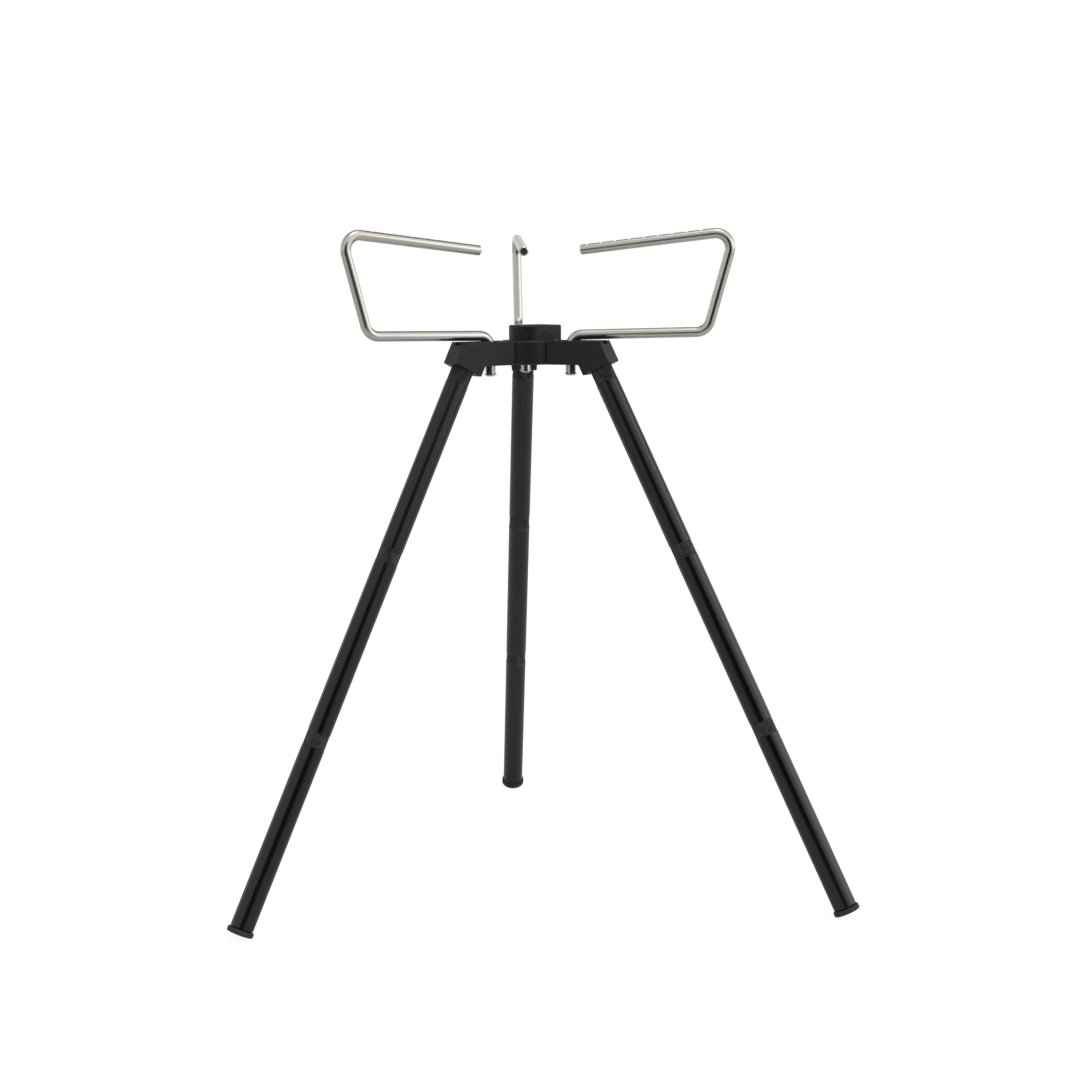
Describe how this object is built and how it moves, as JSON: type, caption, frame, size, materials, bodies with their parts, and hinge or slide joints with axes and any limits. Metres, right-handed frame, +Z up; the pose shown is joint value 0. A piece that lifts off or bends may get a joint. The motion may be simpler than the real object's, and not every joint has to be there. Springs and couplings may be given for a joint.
{
  "type": "campfire tripod grate",
  "caption": "Black tripod hub on screw-together legs, with bent steel rods that swivel out as a pot support over a campfire or burner.",
  "frame": {"origin": "on the ground, straight below the hub's vertical axis", "axes": "+Z up along the hub's axis; the rear arm and leg point along +Y"},
  "size_m": [0.4268, 0.3722, 0.4661],
  "materials": {
    "blasted_hub": "bead-blasted, black anodised",
    "knurled_collar": "diamond-knurled, black anodised",
    "anodised_tube": "satin black anodised",
    "stainless_rod": "bright-drawn stainless steel",
    "spring_steel": "bright spring steel",
    "plated_steel": "plated steel",
    "black_screws": "black oxide",
    "foot_rubber": "matt moulded rubber"
  },
  "bodies": {
    "hub": {"hub_drum": "blasted_hub", "arm_screws": "black_screws", "leg_sockets": "plated_steel", "centre_block": "blasted_hub", "centre_screw": "black_screws", "arm_left": "blasted_hub", "arm_rear": "blasted_hub", "arm_right": "blasted_hub"},
    "clip_left": {"support_clip_left": "spring_steel"},
    "support_left": {"support_rod_left": "stainless_rod"},
    "upper_leg_left": {"upper_collar_left": "knurled_collar", "upper_tube_left": "anodised_tube", "upper_insert_left": "plated_steel"},
    "middle_leg_left": {"middle_collar_left": "knurled_collar", "middle_tube_left": "anodised_tube", "middle_insert_left": "plated_steel"},
    "lower_leg_left": {"lower_collar_left": "knurled_collar", "lower_tube_left": "anodised_tube", "foot_plug_left": "plated_steel", "foot_pad_left": "foot_rubber", "foot_screw_left": "black_screws"},
    "clip_rear": {"support_clip_rear": "spring_steel"},
    "support_rear": {"support_rod_rear": "stainless_rod"},
    "upper_leg_rear": {"upper_collar_rear": "knurled_collar", "upper_tube_rear": "anodised_tube", "upper_insert_rear": "plated_steel"},
    "middle_leg_rear": {"middle_collar_rear": "knurled_collar", "middle_tube_rear": "anodised_tube", "middle_insert_rear": "plated_steel"},
    "lower_leg_rear": {"lower_collar_rear": "knurled_collar", "lower_tube_rear": "anodised_tube", "foot_plug_rear": "plated_steel", "foot_pad_rear": "foot_rubber", "foot_screw_rear": "black_screws"},
    "clip_right": {"support_clip_right": "spring_steel"},
    "support_right": {"support_rod_right": "stainless_rod"},
    "upper_leg_right": {"upper_collar_right": "knurled_collar", "upper_tube_right": "anodised_tube", "upper_insert_right": "plated_steel"},
    "middle_leg_right": {"middle_collar_right": "knurled_collar", "middle_tube_right": "anodised_tube", "middle_insert_right": "plated_steel"},
    "lower_leg_right": {"lower_collar_right": "knurled_collar", "lower_tube_right": "anodised_tube", "foot_plug_right": "plated_steel", "foot_pad_right": "foot_rubber", "foot_screw_right": "black_screws"}
  },
  "joints": [
    {"name": "support_lift_left", "type": "slide", "parent": "hub", "child": "clip_left", "axis": [0, 0, 1], "range_m": [0, 0.0045]},
    {"name": "support_swivel_left", "type": "hinge", "parent": "clip_left", "child": "support_left", "pos_m": [-0.02815, -0.01625, 0.39], "axis": [0, 0, 1], "range_deg": [-9, 121]},
    {"name": "upper_leg_unscrew_left", "type": "slide", "parent": "hub", "child": "upper_leg_left", "axis": [-0.3837, -0.2215, -0.8965], "range_m": [0, 0.01]},
    {"name": "middle_leg_unscrew_left", "type": "slide", "parent": "upper_leg_left", "child": "middle_leg_left", "axis": [-0.3837, -0.2215, -0.8965], "range_m": [0, 0.01]},
    {"name": "lower_leg_unscrew_left", "type": "slide", "parent": "middle_leg_left", "child": "lower_leg_left", "axis": [-0.3837, -0.2215, -0.8965], "range_m": [0, 0.01]},
    {"name": "support_lift_rear", "type": "slide", "parent": "hub", "child": "clip_rear", "axis": [0, 0, 1], "range_m": [0, 0.0045]},
    {"name": "support_swivel_rear", "type": "hinge", "parent": "clip_rear", "child": "support_rear", "pos_m": [0, 0.0325, 0.39], "axis": [0, 0, 1], "range_deg": [-9, 121]},
    {"name": "upper_leg_unscrew_rear", "type": "slide", "parent": "hub", "child": "upper_leg_rear", "axis": [0, 0.4431, -0.8965], "range_m": [0, 0.01]},
    {"name": "middle_leg_unscrew_rear", "type": "slide", "parent": "upper_leg_rear", "child": "middle_leg_rear", "axis": [0, 0.4431, -0.8965], "range_m": [0, 0.01]},
    {"name": "lower_leg_unscrew_rear", "type": "slide", "parent": "middle_leg_rear", "child": "lower_leg_rear", "axis": [0, 0.4431, -0.8965], "range_m": [0, 0.01]},
    {"name": "support_lift_right", "type": "slide", "parent": "hub", "child": "clip_right", "axis": [0, 0, 1], "range_m": [0, 0.0045]},
    {"name": "support_swivel_right", "type": "hinge", "parent": "clip_right", "child": "support_right", "pos_m": [0.02815, -0.01625, 0.39], "axis": [0, 0, 1], "range_deg": [-23, 107]},
    {"name": "upper_leg_unscrew_right", "type": "slide", "parent": "hub", "child": "upper_leg_right", "axis": [0.3837, -0.2215, -0.8965], "range_m": [0, 0.01]},
    {"name": "middle_leg_unscrew_right", "type": "slide", "parent": "upper_leg_right", "child": "middle_leg_right", "axis": [0.3837, -0.2215, -0.8965], "range_m": [0, 0.01]},
    {"name": "lower_leg_unscrew_right", "type": "slide", "parent": "middle_leg_right", "child": "lower_leg_right", "axis": [0.3837, -0.2215, -0.8965], "range_m": [0, 0.01]}
  ]
}
